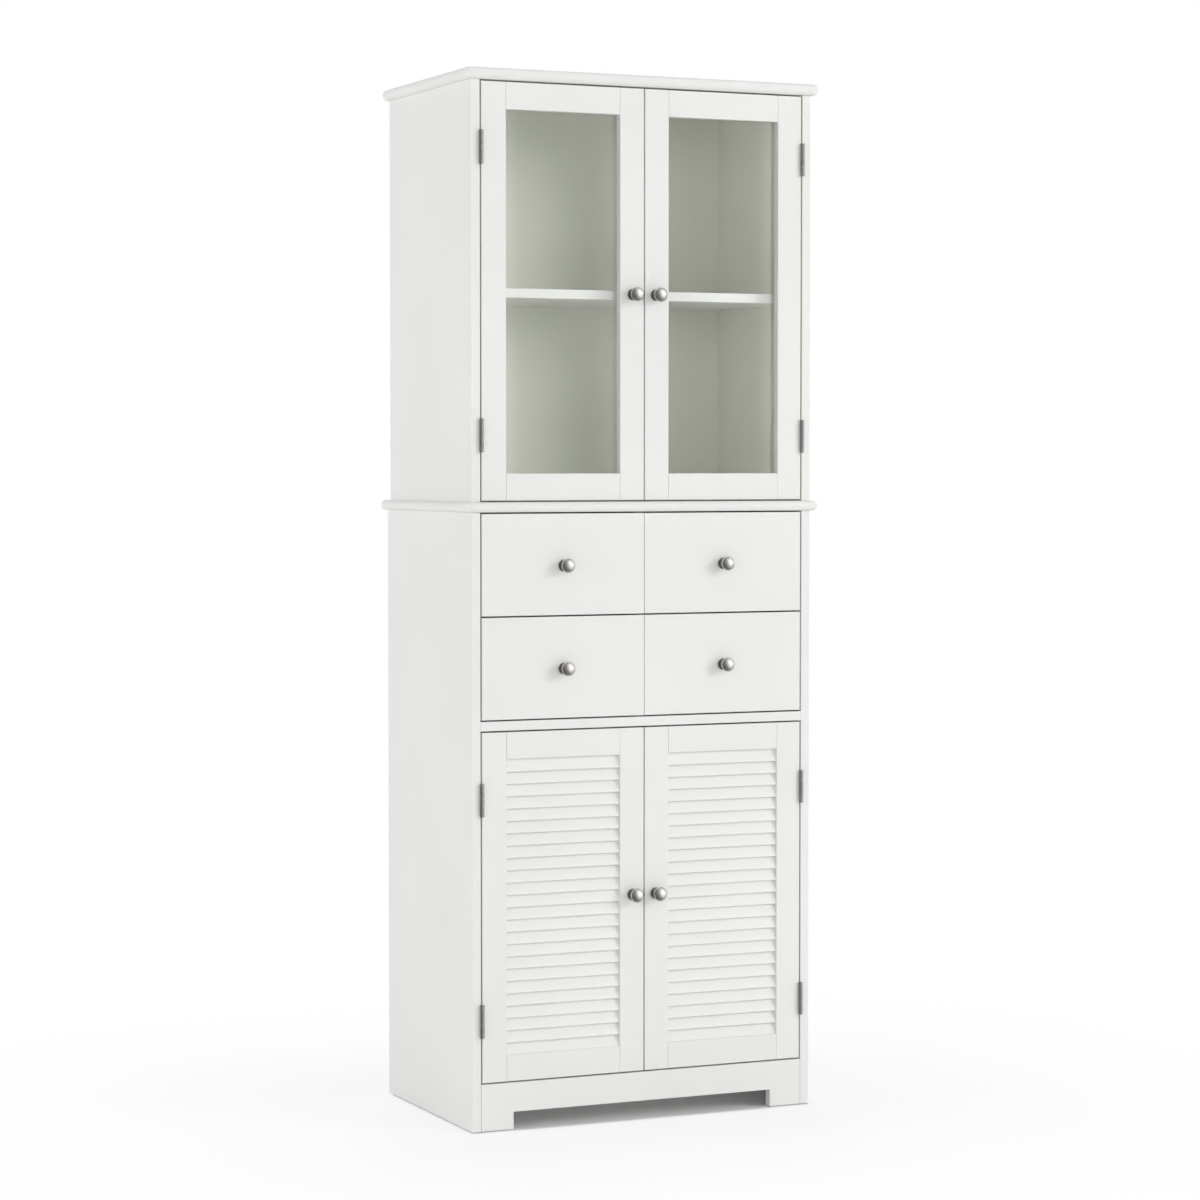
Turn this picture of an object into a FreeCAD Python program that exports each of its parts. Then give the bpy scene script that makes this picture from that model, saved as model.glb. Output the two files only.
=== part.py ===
import FreeCAD, Part
import math
import os

# Tall cabinet: a case with two glazed doors stands on a deeper case with four drawers and two louvred doors.
# Lengths are in millimetres. X runs to the right, Y runs to the back, Z runs up from the floor.
Vector = FreeCAD.Vector

# Cases
case_width = 600.0
upper_depth = 361.0
lower_depth = 374.0
panel_thickness = 15.0
front_gap = 2.4
seam_width = 0.3
seam_depth = 3.0
edge_ease = 0.8

# Boards with a rounded edge
top_thickness = 18.0
waist_thickness = 16.0
nosing_overhang = 12.0
nosing_corner_radius = 12.0
nosing_flat = 0.8

# Heights of the front, from the floor up
apron_height = 75.0
apron_cut_height = 28.0
apron_seam_width = 0.5
foot_width = 56.0
lower_door_height = 557.2
drawer_front_height = 161.9
upper_door_height = 658.2

# Back panels, held in grooves of the sides
back_recess = 46.0
back_panel_thickness = 5.0
back_groove_depth = 6.0

# Shelves and their pins
shelf_setback = 32.0
shelf_clearance = 0.4
display_shelf_rise = 324.0
lower_shelf_rise = 268.0
shelf_pin_radius = 2.5
shelf_pin_hole_clearance = 0.15
shelf_pin_depth = 8.0
shelf_pin_reach = 9.0
shelf_pin_inset = 37.0
shelf_hole_pitch = 32.0
spare_hole_steps = (-1, 1)

# Doors
door_thickness = 20.0
door_meeting_gap = 2.0
stile_width = 42.0
glazed_rail_width = 42.8
louvred_rail_width = 42.6
tenon_length = 12.0
tenon_setback = 4.0
tenon_thickness = 6.0
tenon_shoulder = 10.0

# Glass, held in a rebate by beads
glass_setback = 13.0
glass_thickness = 4.0
glass_lap = 8.0
glass_clearance = 0.5
bead_width = 5.0

# Louvre slats, housed in slots of the stiles
slat_spacing = 19.5
slat_width = 24.0
slat_thickness = 4.5
slat_edge_radius = 1.5
slat_lean_degrees = 20.5
slat_setback = 2.0
slat_housing_depth = 5.0
slat_slot_clearance = 0.15

# Butt hinges
hinge_length = 51.0
hinge_leaf_depth = 16.0
hinge_leaf_play = 0.2
barrel_radius = 3.4
barrel_standoff = 0.2
hinge_pin_radius = 1.5
hinge_pin_clearance = 0.05
knuckle_count = 5
knuckle_play = 0.2
upper_hinge_margin = 77.6
lower_hinge_top_margin = 81.1
lower_hinge_bottom_margin = 73.6

# Knobs and their screws
knob_projection = 26.0
knob_foot_radius = 9.5
knob_foot_thickness = 2.0
knob_neck_radius = 5.5
knob_neck_end = 9.5
knob_head_radius = 11.5
knob_head_start = 16.5
knob_head_rim = 3.0
knob_edge_ease = 0.8
knob_thread_depth = 10.0
screw_radius = 2.0
screw_clearance = 0.2
screw_head_radius = 4.0
screw_head_height = 2.4
door_knob_inset = 19.5
upper_knob_rise = 329.1
lower_knob_rise = 287.6
drawer_knob_rise = 79.1

# Drawers
drawer_front_thickness = 15.0
drawer_meeting_gap = 0.9
partition_setback = 2.0
drawer_side_play = 2.0
drawer_wall_thickness = 12.0
drawer_wall_rise = 10.0
drawer_wall_height = 125.0
drawer_box_length = 290.0
drawer_bottom_thickness = 4.0
drawer_bottom_rise = 8.0
drawer_bottom_lap = 6.0
runner_height = 12.0
runner_rise = 50.0
runner_length = 280.0
runner_groove_depth = 6.0
runner_play = 0.3
runner_start = 3.0

# Magnetic catches and strike plates
catch_width = 40.0
catch_height = 13.0
catch_depth = 16.0
catch_offset = 70.0
catch_play = 0.3
strike_width = 32.0
strike_height = 10.0
strike_thickness = 1.2
strike_drop = 2.5

# Distance under which two positions count as the same when edges are picked
same_place = 0.001

# Planes and heights that several pieces share
front_y = -(lower_depth - knob_projection) / 2
half_case = case_width / 2
half_inside = half_case - panel_thickness
half_partition = panel_thickness / 2
upper_back_y = front_y + upper_depth - back_recess - back_panel_thickness
lower_back_y = front_y + lower_depth - back_recess - back_panel_thickness
lower_door_bottom = apron_height + front_gap
lower_door_top = lower_door_bottom + lower_door_height
bay_floor_bottom = lower_door_top + front_gap
bay_floor_top = bay_floor_bottom + panel_thickness
lower_drawer_bottom = bay_floor_top + front_gap
upper_drawer_bottom = lower_drawer_bottom + drawer_front_height + front_gap
waist_bottom = upper_drawer_bottom + drawer_front_height + front_gap
waist_top = waist_bottom + waist_thickness
upper_door_bottom = waist_top + front_gap
upper_door_top = upper_door_bottom + upper_door_height
top_bottom = upper_door_top + front_gap
bottom_board_bottom = apron_height - panel_thickness
display_shelf_bottom = waist_top + display_shelf_rise
lower_shelf_bottom = apron_height + lower_shelf_rise

# The left doors and the left drawer fronts start here; the right ones are their mirror images.
front_left = -(half_inside - front_gap)
door_right = -door_meeting_gap / 2
drawer_right = -drawer_meeting_gap / 2
opening_left = front_left + stile_width
opening_right = door_right - stile_width
hinge_x = -(half_inside - front_gap / 2)
hinge_y = front_y - barrel_radius - barrel_standoff
hinge_leaf_thickness = (front_gap - hinge_leaf_play) / 2
door_back_y = front_y + door_thickness
door_knob_x = door_right - door_knob_inset
drawer_knob_x = (front_left + drawer_right) / 2


def block(x_low, x_high, y_low, y_high, z_low, z_high):
    """A plain board between two corners."""
    corner = Vector(x_low, y_low, z_low)
    return Part.makeBox(x_high - x_low, y_high - y_low, z_high - z_low, corner)


def mirrored(shape):
    """The same piece on the other side of the cabinet."""
    return shape.mirror(Vector(0, 0, 0), Vector(1, 0, 0))


def group(shapes):
    """Separate solids that share one file."""
    solids = []
    for shape in shapes:
        solids.extend(shape.Solids)
    return Part.makeCompound(solids)


def eased_front(shape, y_front):
    """Rounds the edges of the face that looks to the front."""
    edges = []
    for edge in shape.Edges:
        if abs(edge.BoundBox.YMax - y_front) < same_place:
            edges.append(edge)
    return shape.makeFillet(edge_ease, edges)


def rod(x, y, z, radius, length, direction):
    """A round bar that starts at a point."""
    return Part.makeCylinder(radius, length, Vector(x, y, z), direction)


def nosed_board(y_back, z_low, thickness):
    """A board that overhangs the case and is rounded at the front and at both ends."""
    reach = half_case + nosing_overhang
    z_high = z_low + thickness
    board = block(-reach, reach, front_y - nosing_overhang, y_back, z_low, z_high)
    corners = []
    for edge in board.Edges:
        upright = edge.BoundBox.ZLength > thickness / 2
        if upright and edge.BoundBox.YMax < y_back - same_place:
            corners.append(edge)
    board = board.makeFillet(nosing_corner_radius, corners)
    rims = []
    for edge in board.Edges:
        upright = edge.BoundBox.ZLength > thickness / 2
        if not upright and edge.CenterOfMass.y < y_back - same_place:
            rims.append(edge)
    return board.makeFillet((thickness - nosing_flat) / 2, rims)


def back_panel(y_low, z_low, z_high):
    """A thin back whose ends stand in the grooves of the sides."""
    reach = half_inside + back_groove_depth
    return block(-reach, reach, y_low, y_low + back_panel_thickness, z_low, z_high)


def pin_rows(y_back):
    """Depths of the front and the back pin under a shelf."""
    return (front_y + shelf_setback + shelf_pin_inset, y_back - shelf_pin_inset)


def shelf_holes(y_back, shelf_bottom, spare_steps):
    """Pin holes in a left side: the used height and spare ones some steps below or above it."""
    radius = shelf_pin_radius + shelf_pin_hole_clearance
    holes = []
    for y in pin_rows(y_back):
        for step in (0,) + spare_steps:
            z = shelf_bottom - shelf_pin_radius + step * shelf_hole_pitch
            holes.append(rod(-half_inside, y, z, radius, shelf_pin_depth, Vector(-1, 0, 0)))
    return holes


def left_side(y_back_edge, z_low, z_high, panel, holes):
    """A left side panel with the groove for its back and the holes for its shelf pins."""
    side = block(-half_case, -half_inside, front_y, y_back_edge, z_low, z_high)
    side = eased_front(side, front_y)
    return side.cut([panel] + holes)


def shelf(y_back, shelf_bottom):
    """A loose shelf that lies on four pins."""
    reach = half_inside - shelf_clearance
    y_low = front_y + shelf_setback
    y_high = y_back - shelf_clearance
    board = block(-reach, reach, y_low, y_high, shelf_bottom, shelf_bottom + panel_thickness)
    return eased_front(board, y_low)


def shelf_pins(y_back, shelf_bottom):
    """The two left pins of a shelf: a rod in the side and a flat rest under the shelf."""
    pins = []
    for y in pin_rows(y_back):
        z = shelf_bottom - shelf_pin_radius
        stem = rod(-half_inside, y, z, shelf_pin_radius, shelf_pin_depth, Vector(-1, 0, 0))
        rest_right = shelf_pin_reach - half_inside
        y_low = y - shelf_pin_radius
        y_high = y + shelf_pin_radius
        rest = block(-half_inside, rest_right, y_low, y_high, shelf_bottom - 2 * shelf_pin_radius, shelf_bottom)
        pins.append(stem.fuse(rest))
    return pins


def end_seams(x_low, x_high, width, z_low, z_high):
    """Narrow open seams at the front of both ends of a board, where it meets its neighbours."""
    y_high = front_y + seam_depth
    left = block(x_low, x_low + width, front_y, y_high, z_low, z_high)
    right = block(x_high - width, x_high, front_y, y_high, z_low, z_high)
    return [left, right]


def front_apron():
    """The board under the doors, cut out at the bottom to leave two feet."""
    apron = block(-half_inside, half_inside, front_y, front_y + panel_thickness, 0, apron_height)
    foot_end = half_inside - foot_width
    cut = block(-foot_end, foot_end, front_y, front_y + panel_thickness, 0, apron_cut_height)
    apron = eased_front(apron.cut(cut), front_y)
    return apron.cut(end_seams(-half_inside, half_inside, apron_seam_width, 0, apron_height))


def cross_board(y_low, y_high, z_low):
    """A board that lies between the two sides."""
    return block(-half_inside, half_inside, y_low, y_high, z_low, z_low + panel_thickness)


def drawer_partition():
    """The upright board between the left and the right drawers, just behind their fronts."""
    y_low = front_y + drawer_front_thickness + partition_setback
    return block(-half_partition, half_partition, y_low, lower_back_y, bay_floor_top, waist_bottom)


def hinge_knuckles(z_low, first):
    """Every second knuckle of a left hinge, counted from the bottom."""
    pitch = (hinge_length + knuckle_play) / knuckle_count
    spans = []
    for index in range(first, knuckle_count, 2):
        spans.append((z_low + index * pitch, pitch - knuckle_play))
    return spans


def hinge_half(z_low, x_low, first):
    """A leaf that stands in the gap beside a left door, with its knuckles in front of the gap."""
    x_high = x_low + hinge_leaf_thickness
    pieces = []
    for z, length in hinge_knuckles(z_low, first):
        pieces.append(rod(hinge_x, hinge_y, z, barrel_radius, length, Vector(0, 0, 1)))
        pieces.append(block(x_low, x_high, hinge_y, front_y, z, z + length))
    leaf = block(x_low, x_high, front_y, front_y + hinge_leaf_depth, z_low, z_low + hinge_length)
    return leaf.fuse(pieces).removeSplitter()


def frame_hinge(z_low):
    """The half on the case, with the pin fixed in its knuckles."""
    half = hinge_half(z_low, -half_inside, 0)
    pin = rod(hinge_x, hinge_y, z_low, hinge_pin_radius, hinge_length, Vector(0, 0, 1))
    return half.fuse(pin).removeSplitter()


def door_hinge(z_low):
    """The half on the door, which turns on the pin."""
    half = hinge_half(z_low, front_left - hinge_leaf_thickness, 1)
    radius = hinge_pin_radius + hinge_pin_clearance
    return half.cut(rod(hinge_x, hinge_y, z_low, radius, hinge_length, Vector(0, 0, 1)))


def upper_hinge_heights():
    """Lower ends of the two hinges of a glazed door."""
    return (upper_door_bottom + upper_hinge_margin, upper_door_top - upper_hinge_margin - hinge_length)


def lower_hinge_heights():
    """Lower ends of the two hinges of a louvred door."""
    low = lower_door_bottom + lower_hinge_bottom_margin
    return (low, lower_door_top - lower_hinge_top_margin - hinge_length)


def knob_bore(x, z, thickness):
    """The hole through a front that a knob's screw passes."""
    return rod(x, front_y, z, screw_radius + screw_clearance, thickness, Vector(0, 1, 0))


def hollow_arc(neck, end):
    """An arc that leaves a knob's neck along its axis and flares out to a wider point."""
    flare = end.x - neck.x
    rise = end.z - neck.z
    radius = (flare * flare + rise * rise) / (2 * flare)
    centre = Vector(neck.x + radius, 0, neck.z)
    half_turn = math.copysign(math.pi, rise)
    end_turn = math.atan2(rise, flare - radius)
    middle_turn = (half_turn + end_turn) / 2
    middle = centre + Vector(radius * math.cos(middle_turn), 0, radius * math.sin(middle_turn))
    return Part.Arc(neck, middle, end).toShape()


def dome_arc(rim, tip):
    """An arc from the rim of a knob's head to its tip, level at the tip."""
    rise = tip.z - rim.z
    radius = (rim.x * rim.x + rise * rise) / (2 * rise)
    half_turn = math.asin(rim.x / radius) / 2
    middle = Vector(radius * math.sin(half_turn), 0, tip.z - radius + radius * math.cos(half_turn))
    return Part.Arc(rim, middle, tip).toShape()


def knob_profile():
    """Half outline of a knob: radius along X, distance from the front along Z."""
    centre = Vector(0, 0, 0)
    foot = Vector(knob_foot_radius, 0, 0)
    foot_top = Vector(knob_foot_radius, 0, knob_foot_thickness)
    neck = Vector(knob_neck_radius, 0, knob_neck_end)
    rim = Vector(knob_head_radius, 0, knob_head_start)
    rim_top = Vector(knob_head_radius, 0, knob_head_start + knob_head_rim)
    tip = Vector(0, 0, knob_projection)
    edges = [
        Part.makeLine(centre, foot),
        Part.makeLine(foot, foot_top),
        hollow_arc(neck, foot_top),
        hollow_arc(neck, rim),
        Part.makeLine(rim, rim_top),
        dome_arc(rim_top, tip),
        Part.makeLine(tip, centre),
    ]
    return Part.Face(Part.Wire(Part.__sortEdges__(edges)))


def knob(x, z, thickness):
    """A turned knob on the front plane and the screw that holds it from behind."""
    body = knob_profile().revolve(Vector(0, 0, 0), Vector(0, 0, 1), 360)
    rims = []
    for edge in body.Edges:
        level = edge.BoundBox.ZLength < same_place
        raised = edge.BoundBox.ZMin > same_place
        wide = edge.BoundBox.XLength > 2 * knob_neck_radius + same_place
        if level and raised and wide:
            rims.append(edge)
    body = body.makeFillet(knob_edge_ease, rims)
    body.rotate(Vector(0, 0, 0), Vector(1, 0, 0), 90)
    body.translate(Vector(x, front_y, z))
    thread = rod(x, front_y, z, screw_radius + screw_clearance, knob_thread_depth, Vector(0, -1, 0))
    body = body.cut(thread)
    back = front_y + thickness
    shank = rod(x, back, z, screw_radius, thickness + knob_thread_depth, Vector(0, -1, 0))
    head = rod(x, back, z, screw_head_radius, screw_head_height, Vector(0, 1, 0))
    return group([body, shank.fuse(head)])


def door_rails(z_low, z_high, rail_width):
    """Bottom and top rail of a left door, with a tenon and a seam at each end."""
    rails = []
    for z in (z_low, z_high - rail_width):
        rail = block(opening_left, opening_right, front_y, door_back_y, z, z + rail_width)
        rail = eased_front(rail, front_y)
        rail = rail.cut(end_seams(opening_left, opening_right, seam_width, z, z + rail_width))
        y_low = front_y + tenon_setback
        z_tenon = z + tenon_shoulder
        z_end = z + rail_width - tenon_shoulder
        x_low = opening_left - tenon_length
        x_high = opening_right + tenon_length
        tenon = block(x_low, x_high, y_low, y_low + tenon_thickness, z_tenon, z_end)
        rails.append(rail.fuse(tenon))
    return rails


def door_stiles(z_low, z_high):
    """Hinge stile and meeting stile of a left door."""
    stiles = []
    for x in (front_left, opening_right):
        stile = block(x, x + stile_width, front_y, door_back_y, z_low, z_high)
        stiles.append(eased_front(stile, front_y))
    return stiles


def glass_space(lap, y_low, y_high, clearance):
    """The space behind the lips of a left glazed door, as far as a lap and a clearance."""
    reach = lap - clearance
    z_low = upper_door_bottom + glazed_rail_width - lap
    z_high = upper_door_top - glazed_rail_width + reach
    return block(opening_left - reach, opening_right + reach, y_low, y_high, z_low, z_high)


def glass_beads():
    """Four strips behind the glass: two upright ones and two between them."""
    y_low = front_y + glass_setback + glass_thickness
    z_low = upper_door_bottom + glazed_rail_width
    z_high = upper_door_top - glazed_rail_width
    left = opening_left - glass_lap
    right = opening_right + glass_lap
    z_end = z_high + glass_lap
    z_start = z_low - glass_lap
    inner_left = left + bead_width
    inner_right = right - bead_width
    strips = [
        block(left, inner_left, y_low, door_back_y, z_start, z_end),
        block(inner_right, right, y_low, door_back_y, z_start, z_end),
        block(inner_left, inner_right, y_low, door_back_y, z_start, z_start + bead_width),
        block(inner_left, inner_right, y_low, door_back_y, z_end - bead_width, z_end),
    ]
    return group(strips)


def strike_plate(z_top):
    """The steel plate on the back of a left door's top rail."""
    x_low = -catch_offset - strike_width / 2
    z_high = z_top - strike_drop
    y_high = door_back_y + strike_thickness
    return block(x_low, x_low + strike_width, door_back_y, y_high, z_high - strike_height, z_high)


def catch(z_top):
    """The catch of a left door, under the board above it."""
    x_low = -catch_offset - catch_width / 2
    y_low = door_back_y + strike_thickness + catch_play
    return block(x_low, x_low + catch_width, y_low, y_low + catch_depth, z_top - catch_height, z_top)


def glazed_door():
    """Pieces of the left glazed door by name."""
    rebate = glass_space(glass_lap, front_y + glass_setback, door_back_y, 0)
    rails = door_rails(upper_door_bottom, upper_door_top, glazed_rail_width)
    knob_z = upper_door_bottom + upper_knob_rise
    bore = knob_bore(door_knob_x, knob_z, door_thickness)
    stiles = []
    for stile in door_stiles(upper_door_bottom, upper_door_top):
        stiles.append(stile.cut(rails + [rebate, bore]))
    glass_y = front_y + glass_setback
    halves = []
    for z in upper_hinge_heights():
        halves.append(door_hinge(z))
    return {
        "stiles": group(stiles),
        "rails": group([rail.cut(rebate) for rail in rails]),
        "glass": glass_space(glass_lap, glass_y, glass_y + glass_thickness, glass_clearance),
        "glass_beads": glass_beads(),
        "hinge_leaves": group(halves),
        "knob": knob(door_knob_x, knob_z, door_thickness),
        "strike_plate": strike_plate(upper_door_top),
    }


def slat(z, growth):
    """A slat across the opening of a left louvred door, its lower edge to the front."""
    x_low = opening_left - slat_housing_depth
    x_high = opening_right + slat_housing_depth
    half_thickness = slat_thickness / 2 + growth
    half_width = slat_width / 2 + growth
    strip = block(x_low, x_high, -half_thickness, half_thickness, -half_width, half_width)
    edges = []
    for edge in strip.Edges:
        if edge.BoundBox.XLength > slat_width:
            edges.append(edge)
    strip = strip.makeFillet(slat_edge_radius + growth, edges)
    strip.rotate(Vector(0, 0, 0), Vector(1, 0, 0), -slat_lean_degrees)
    lean = math.radians(slat_lean_degrees)
    half_depth = (slat_width * math.sin(lean) + slat_thickness * math.cos(lean)) / 2
    strip.translate(Vector(0, front_y + slat_setback + half_depth, z))
    return strip


def slat_heights():
    """Middle heights of the slats that fill the opening of a louvred door."""
    field_low = lower_door_bottom + louvred_rail_width
    field = lower_door_height - 2 * louvred_rail_width
    count = round(field / slat_spacing)
    pitch = field / count
    return [field_low + (index + 0.5) * pitch for index in range(count)]


def louvred_door():
    """Pieces of the left louvred door by name."""
    rails = door_rails(lower_door_bottom, lower_door_top, louvred_rail_width)
    knob_z = lower_door_bottom + lower_knob_rise
    bore = knob_bore(door_knob_x, knob_z, door_thickness)
    slats = []
    slots = []
    for z in slat_heights():
        slats.append(slat(z, 0))
        slots.append(slat(z, slat_slot_clearance))
    stiles = []
    for stile in door_stiles(lower_door_bottom, lower_door_top):
        stiles.append(stile.cut(rails + slots + [bore]))
    ends = [slots[0], slots[-1]]
    halves = []
    for z in lower_hinge_heights():
        halves.append(door_hinge(z))
    return {
        "stiles": group(stiles),
        "rails": group([rail.cut(ends) for rail in rails]),
        "slats": group(slats),
        "hinge_leaves": group(halves),
        "knob": knob(door_knob_x, knob_z, door_thickness),
        "strike_plate": strike_plate(lower_door_top),
    }


def drawer_runner_pair(z_low):
    """The two strips that a left drawer runs on, one on the side and one on the partition."""
    depth = drawer_side_play + runner_groove_depth - runner_play
    y_low = front_y + drawer_front_thickness + runner_start
    z = z_low + runner_rise
    outer = block(-half_inside, depth - half_inside, y_low, y_low + runner_length, z, z + runner_height)
    inner_x = -half_partition
    inner = block(inner_x - depth, inner_x, y_low, y_low + runner_length, z, z + runner_height)
    return [outer, inner]


def drawer(z_low):
    """Pieces of a left drawer by name."""
    y_box = front_y + drawer_front_thickness
    y_end = y_box + drawer_box_length
    box_left = drawer_side_play - half_inside
    box_right = -half_partition - drawer_side_play
    inner_left = box_left + drawer_wall_thickness
    inner_right = box_right - drawer_wall_thickness
    wall_low = z_low + drawer_wall_rise
    wall_high = wall_low + drawer_wall_height
    bottom_low = wall_low + drawer_bottom_rise
    bottom_high = bottom_low + drawer_bottom_thickness
    bottom = block(inner_left - drawer_bottom_lap, inner_right + drawer_bottom_lap,
                   y_box - drawer_bottom_lap, y_end, bottom_low, bottom_high)
    knob_z = z_low + drawer_knob_rise
    front = block(front_left, drawer_right, front_y, y_box, z_low, z_low + drawer_front_height)
    front = eased_front(front, front_y)
    front = front.cut([bottom, knob_bore(drawer_knob_x, knob_z, drawer_front_thickness)])
    groove_low = z_low + runner_rise - runner_play
    groove_high = z_low + runner_rise + runner_height + runner_play
    left_wall = block(box_left, inner_left, y_box, y_end, wall_low, wall_high)
    left_groove = block(box_left, box_left + runner_groove_depth, y_box, y_end, groove_low, groove_high)
    right_wall = block(inner_right, box_right, y_box, y_end, wall_low, wall_high)
    right_groove = block(box_right - runner_groove_depth, box_right, y_box, y_end, groove_low, groove_high)
    back_wall = block(inner_left, inner_right, y_end - drawer_wall_thickness, y_end, bottom_high, wall_high)
    walls = [left_wall.cut([left_groove, bottom]), right_wall.cut([right_groove, bottom]), back_wall]
    return {
        "front": front,
        "walls": group(walls),
        "bottom": bottom,
        "knob": knob(drawer_knob_x, knob_z, drawer_front_thickness),
    }


def carcass():
    """Fixed pieces of the cabinet by name."""
    upper_back = back_panel(upper_back_y, waist_top, top_bottom)
    lower_back = back_panel(lower_back_y, bottom_board_bottom, waist_bottom)
    upper_holes = shelf_holes(upper_back_y, display_shelf_bottom, ())
    lower_holes = shelf_holes(lower_back_y, lower_shelf_bottom, spare_hole_steps)
    upper_side = left_side(front_y + upper_depth, waist_top, top_bottom, upper_back, upper_holes)
    lower_side = left_side(front_y + lower_depth, 0, waist_bottom, lower_back, lower_holes)
    pins = shelf_pins(upper_back_y, display_shelf_bottom) + shelf_pins(lower_back_y, lower_shelf_bottom)
    hinges = [frame_hinge(z) for z in upper_hinge_heights() + lower_hinge_heights()]
    runners = drawer_runner_pair(lower_drawer_bottom) + drawer_runner_pair(upper_drawer_bottom)
    catches = [catch(top_bottom), catch(bay_floor_bottom)]
    bay_floor = eased_front(cross_board(front_y, lower_back_y, bay_floor_bottom), front_y)
    return {
        "top_board": nosed_board(front_y + upper_depth, top_bottom, top_thickness),
        "waist_board": nosed_board(front_y + lower_depth, waist_bottom, waist_thickness),
        "upper_side_left": upper_side,
        "upper_side_right": mirrored(upper_side),
        "lower_side_left": lower_side,
        "lower_side_right": mirrored(lower_side),
        "upper_back_panel": upper_back,
        "lower_back_panel": lower_back,
        "display_shelf": shelf(upper_back_y, display_shelf_bottom),
        "lower_shelf": shelf(lower_back_y, lower_shelf_bottom),
        "shelf_pins": both_sides(pins),
        "drawer_bay_floor": bay_floor,
        "drawer_partition": drawer_partition(),
        "bottom_board": cross_board(front_y + panel_thickness, lower_back_y, bottom_board_bottom),
        "front_apron": front_apron(),
        "frame_hinge_leaves": both_sides(hinges),
        "drawer_runners": both_sides(runners),
        "magnetic_catches": both_sides(catches),
    }


def both_sides(shapes):
    """Pieces of the left half together with their mirror images."""
    return group(shapes + [mirrored(shape) for shape in shapes])


def save(name, shape):
    """Writes one piece to its own file."""
    shape.exportStep("parts/" + name + ".step")


def main():
    """Builds every piece and writes it."""
    os.makedirs("parts", exist_ok=True)
    for name, shape in carcass().items():
        save(name, shape)
    moving = {
        "upper_{}_door": glazed_door(),
        "lower_{}_door": louvred_door(),
        "upper_{}_drawer": drawer(upper_drawer_bottom),
        "lower_{}_drawer": drawer(lower_drawer_bottom),
    }
    for pattern, pieces in moving.items():
        for name, shape in pieces.items():
            save(pattern.format("left") + "_" + name, shape)
            save(pattern.format("right") + "_" + name, mirrored(shape))


main()
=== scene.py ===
"""Finishes, fittings, studio and camera for a tall white display cabinet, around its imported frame.

Lengths are in metres and angles in degrees.
"""

import logging
import math
from abc import ABC, abstractmethod
from dataclasses import dataclass
from enum import Enum
from typing import Callable, Iterable, Sequence

import bmesh
import bpy
from mathutils import Matrix, Vector


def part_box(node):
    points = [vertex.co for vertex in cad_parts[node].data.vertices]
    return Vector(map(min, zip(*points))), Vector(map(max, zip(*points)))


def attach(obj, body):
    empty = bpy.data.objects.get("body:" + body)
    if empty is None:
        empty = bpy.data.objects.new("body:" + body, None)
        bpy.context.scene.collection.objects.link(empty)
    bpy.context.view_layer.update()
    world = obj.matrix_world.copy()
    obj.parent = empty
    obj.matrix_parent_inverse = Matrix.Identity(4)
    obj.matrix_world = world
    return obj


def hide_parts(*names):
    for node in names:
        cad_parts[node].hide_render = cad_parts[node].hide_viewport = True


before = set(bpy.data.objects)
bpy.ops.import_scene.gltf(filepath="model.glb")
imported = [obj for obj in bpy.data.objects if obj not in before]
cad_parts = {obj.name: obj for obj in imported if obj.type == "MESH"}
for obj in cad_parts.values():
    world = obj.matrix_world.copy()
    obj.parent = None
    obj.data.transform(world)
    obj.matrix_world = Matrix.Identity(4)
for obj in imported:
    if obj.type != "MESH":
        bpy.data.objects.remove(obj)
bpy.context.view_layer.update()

log = logging.getLogger("cabinet")

Colour = tuple[float, float, float, float]
Shades = tuple[Colour, Colour]
Place = tuple[float, float, float]
Range = tuple[float, float]
Stops = tuple[tuple[float, float], ...]
Socket = bpy.types.NodeSocket
Source = Socket | float | Place | Colour
Finish = bpy.types.Material
Test = Callable[[Vector, Vector], bool]

# The curve between what a screen shows and linear light.
SCREEN_TOP = 255
SCREEN_KNEE = 0.04045
SCREEN_SLOPE = 12.92
SCREEN_OFFSET = 0.055
SCREEN_POWER = 2.4

WHITE: Colour = (1.0, 1.0, 1.0, 1.0)
UNIT: Range = (0.0, 1.0)
# Most of a noise pattern lies between these values.
NOISE_SPAN: Range = (0.3, 0.7)
# Stretches of a pattern that leave out the way along Y or Z.
NO_DEPTH: Place = (1.0, 0.0, 1.0)
NO_HEIGHT: Place = (1.0, 1.0, 0.0)
# Points closer than this count as one.
TINY = 0.00001
# A face looks along an axis if its normal has more than this share of it.
ALIGNED = 0.9


def tone(red: int, green: int, blue: int) -> Colour:
    """Turns a colour as a screen shows it into the linear one that a shader takes.

    Args:
        red: Red from 0 to 255.
        green: Green from 0 to 255.
        blue: Blue from 0 to 255.

    Returns:
        The linear colour with full alpha.
    """
    parts = []
    for level in (red, green, blue):
        share = level / SCREEN_TOP
        if share <= SCREEN_KNEE:
            parts.append(share / SCREEN_SLOPE)
        else:
            parts.append(((share + SCREEN_OFFSET) / (1 + SCREEN_OFFSET)) ** SCREEN_POWER)
    return (parts[0], parts[1], parts[2], 1.0)


def direction(azimuth: float, elevation: float) -> Vector:
    """Gives the way from the cabinet to a place in the studio.

    Args:
        azimuth: Turn from straight in front towards the right.
        elevation: Rise above level.

    Returns:
        The way, 1 long.
    """
    turn, rise = math.radians(azimuth), math.radians(elevation)
    level = math.cos(rise)
    return Vector((math.sin(turn) * level, -math.cos(turn) * level, math.sin(rise)))


class Side(Enum):
    """The two halves of the cabinet as seen from the front."""

    LEFT = "left"
    RIGHT = "right"

    @property
    def sign(self) -> int:
        """Direction of this half along X."""
        return -1 if self is Side.LEFT else 1


class Level(Enum):
    """The upper and the lower one of two doors or drawers."""

    UPPER = "upper"
    LOWER = "lower"


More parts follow.
